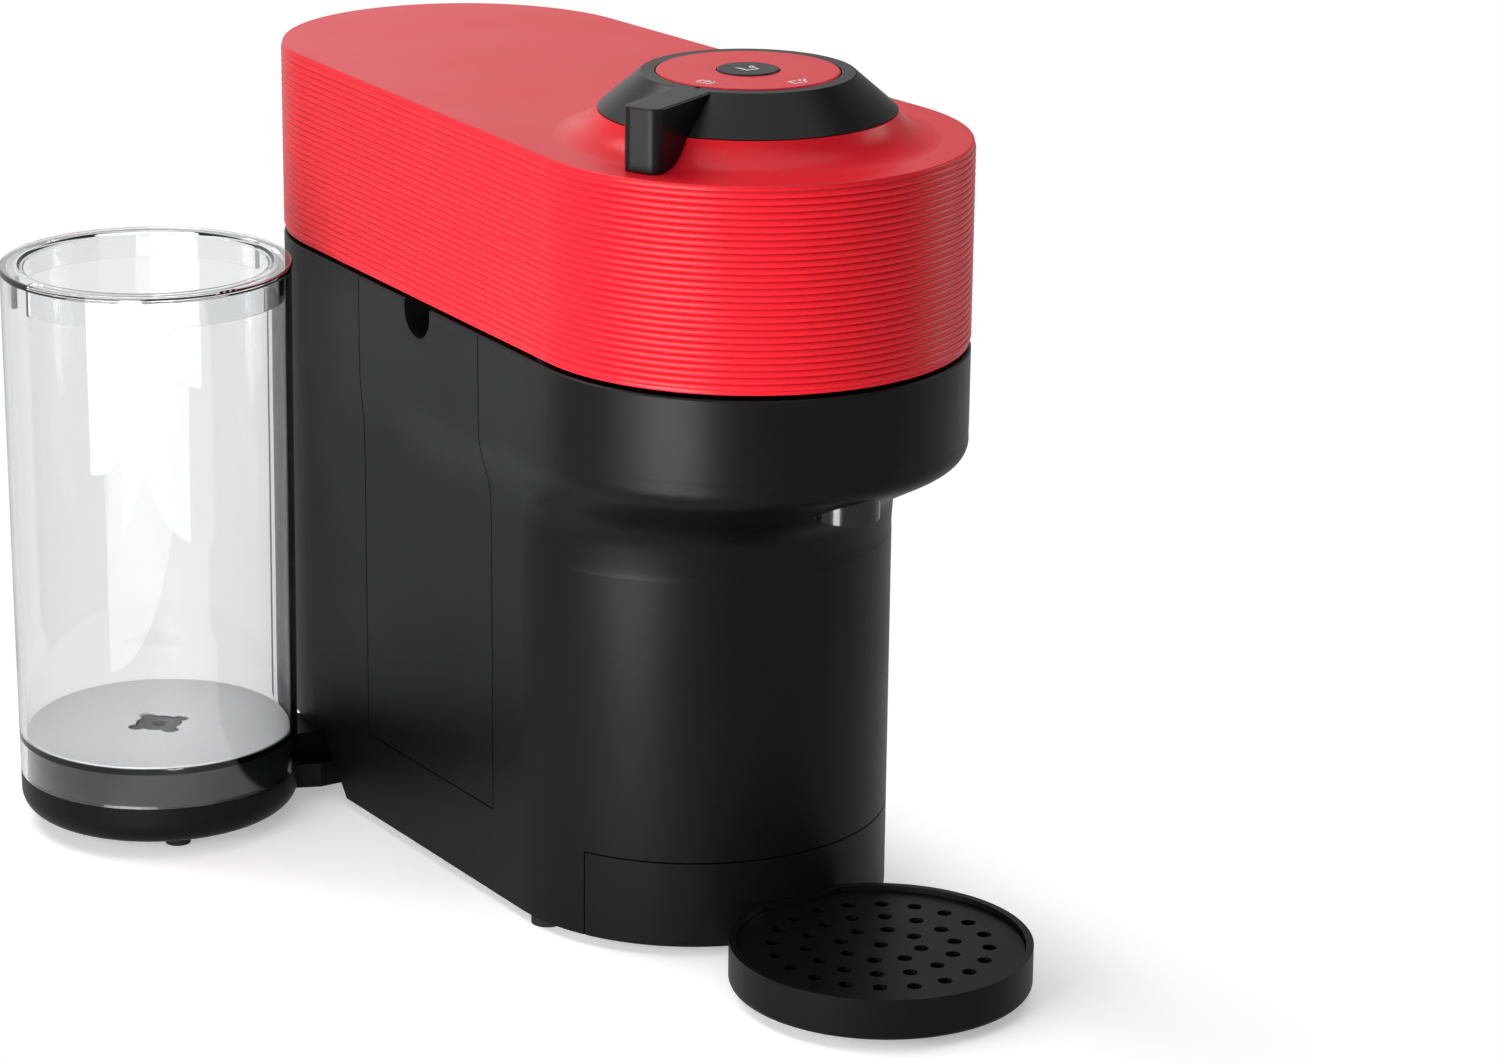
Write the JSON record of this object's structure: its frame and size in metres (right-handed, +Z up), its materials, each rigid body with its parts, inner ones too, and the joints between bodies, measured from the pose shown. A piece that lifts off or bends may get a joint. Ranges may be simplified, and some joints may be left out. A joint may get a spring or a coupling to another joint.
{
  "type": "pod coffee machine",
  "caption": "Countertop pod coffee machine: ribbed red tilting head with a turning lock lever, black column, swing-out clear water tank and a round slide-off cup support.",
  "frame": {"origin": "on the floor, under the axis of the lever knob and the capsule, in the middle of the front rubber pad", "axes": "+Z up, the machine's front faces -Y, +X is the machine's left as it looks out"},
  "size_m": [0.2235, 0.3427, 0.2636],
  "materials": {
    "red_plastic": "satin",
    "black_plastic": "fine spark-eroded texture",
    "gloss_black_plastic": "gloss",
    "grey_plastic": "satin",
    "clear_plastic": "clear",
    "rubber": "matte",
    "steel": "satin",
    "aluminium": "as cast",
    "board_green": "satin",
    "tube_white": "satin"
  },
  "bodies": {
    "body": {"housing": "black_plastic", "panel_left": "black_plastic", "panel_right": "black_plastic", "front_plinth": "black_plastic", "base_plate": "black_plastic", "hub_cap": "black_plastic", "deck": "black_plastic", "board_rail": "black_plastic", "cord_gland": "black_plastic", "spout": "gloss_black_plastic", "collector": "gloss_black_plastic", "code_reader": "gloss_black_plastic", "heater": "aluminium", "holder_bearing": "steel", "heater_bracket": "steel", "feet": "rubber", "pump_mounts": "rubber", "control_board": "board_green", "pump": "grey_plastic", "flow_meter": "grey_plastic", "suction_tube": "tube_white", "pump_tube": "tube_white", "pressure_tube": "tube_white", "hot_tube": "tube_white", "hub_screws": "steel", "base_screws": "steel", "deck_screws": "steel"},
    "head": {"head_shell": "red_plastic", "head_plate": "black_plastic", "hinge_pin": "steel", "head_gasket": "rubber", "motor_mount": "aluminium", "clamp_bearing": "steel", "motor": "steel", "disc": "red_plastic", "disc_post": "black_plastic", "button_board": "board_green", "button_dome": "rubber", "head_tube": "tube_white", "head_screws": "steel", "motor_screws": "steel"},
    "lever": {"lever_ring": "black_plastic", "lock_ring": "black_plastic"},
    "button": {"button": "gloss_black_plastic"},
    "clamp": {"clamp_rotor": "grey_plastic", "needle": "steel"},
    "holder": {"capsule_holder": "grey_plastic"},
    "arm": {"swing_arm": "black_plastic", "dock": "black_plastic", "dock_seal": "rubber", "dock_glides": "rubber"},
    "tank": {"tank": "clear_plastic", "valve_seat": "black_plastic", "valve_spring": "rubber"},
    "lid": {"tank_lid": "clear_plastic"},
    "poppet": {"valve_poppet": "black_plastic"},
    "tray": {"tray": "black_plastic", "tray_pads": "rubber"},
    "grid": {"tray_grid": "black_plastic"}
  },
  "joints": [
    {"name": "head_hinge", "type": "hinge", "parent": "body", "child": "head", "pos_m": [0, 0.211, 0.178], "axis": [-1, 0, 0], "range_deg": [0, 26]},
    {"name": "lever_turn", "type": "hinge", "parent": "head", "child": "lever", "pos_m": [0, 0, 0.25], "axis": [0, 0, 1], "range_deg": [0, 71.8]},
    {"name": "button_press", "type": "slide", "parent": "head", "child": "button", "axis": [0, 0, -1], "range_m": [0, 0.0015], "stiffness_N_per_m": 500, "springref_m": -0.001, "deforming": ["button_dome"]},
    {"name": "holder_spin", "type": "hinge", "parent": "body", "child": "holder", "pos_m": [0, 0, 0.16], "axis": [0, 0, 1], "continuous": true},
    {"name": "clamp_spin", "type": "hinge", "parent": "head", "child": "clamp", "pos_m": [0, 0, 0.2], "axis": [0, 0, 1], "continuous": true},
    {"name": "tank_swivel", "type": "hinge", "parent": "body", "child": "arm", "pos_m": [0, 0.168, 0.012], "axis": [0, 0, 1], "range_deg": [-177.1, 0]},
    {"name": "tank_lift", "type": "slide", "parent": "arm", "child": "tank", "axis": [0, 0, 1], "range_m": [0, 0.09]},
    {"name": "lid_lift", "type": "slide", "parent": "tank", "child": "lid", "axis": [0, 0, 1], "range_m": [0, 0.04]},
    {"name": "valve_press", "type": "slide", "parent": "tank", "child": "poppet", "axis": [0, 0, 1], "range_m": [0, 0.002], "stiffness_N_per_m": 150, "springref_m": -0.004, "deforming": ["valve_spring"]},
    {"name": "tray_slide", "type": "slide", "parent": "body", "child": "tray", "axis": [0, -1, 0], "range_m": [0, 0.06]},
    {"name": "grid_lift", "type": "slide", "parent": "tray", "child": "grid", "axis": [0, 0, 1], "range_m": [0, 0.03]}
  ],
  "couplings": [
    {"joint": "clamp_spin", "follows": "holder_spin", "ratio": 1}
  ]
}
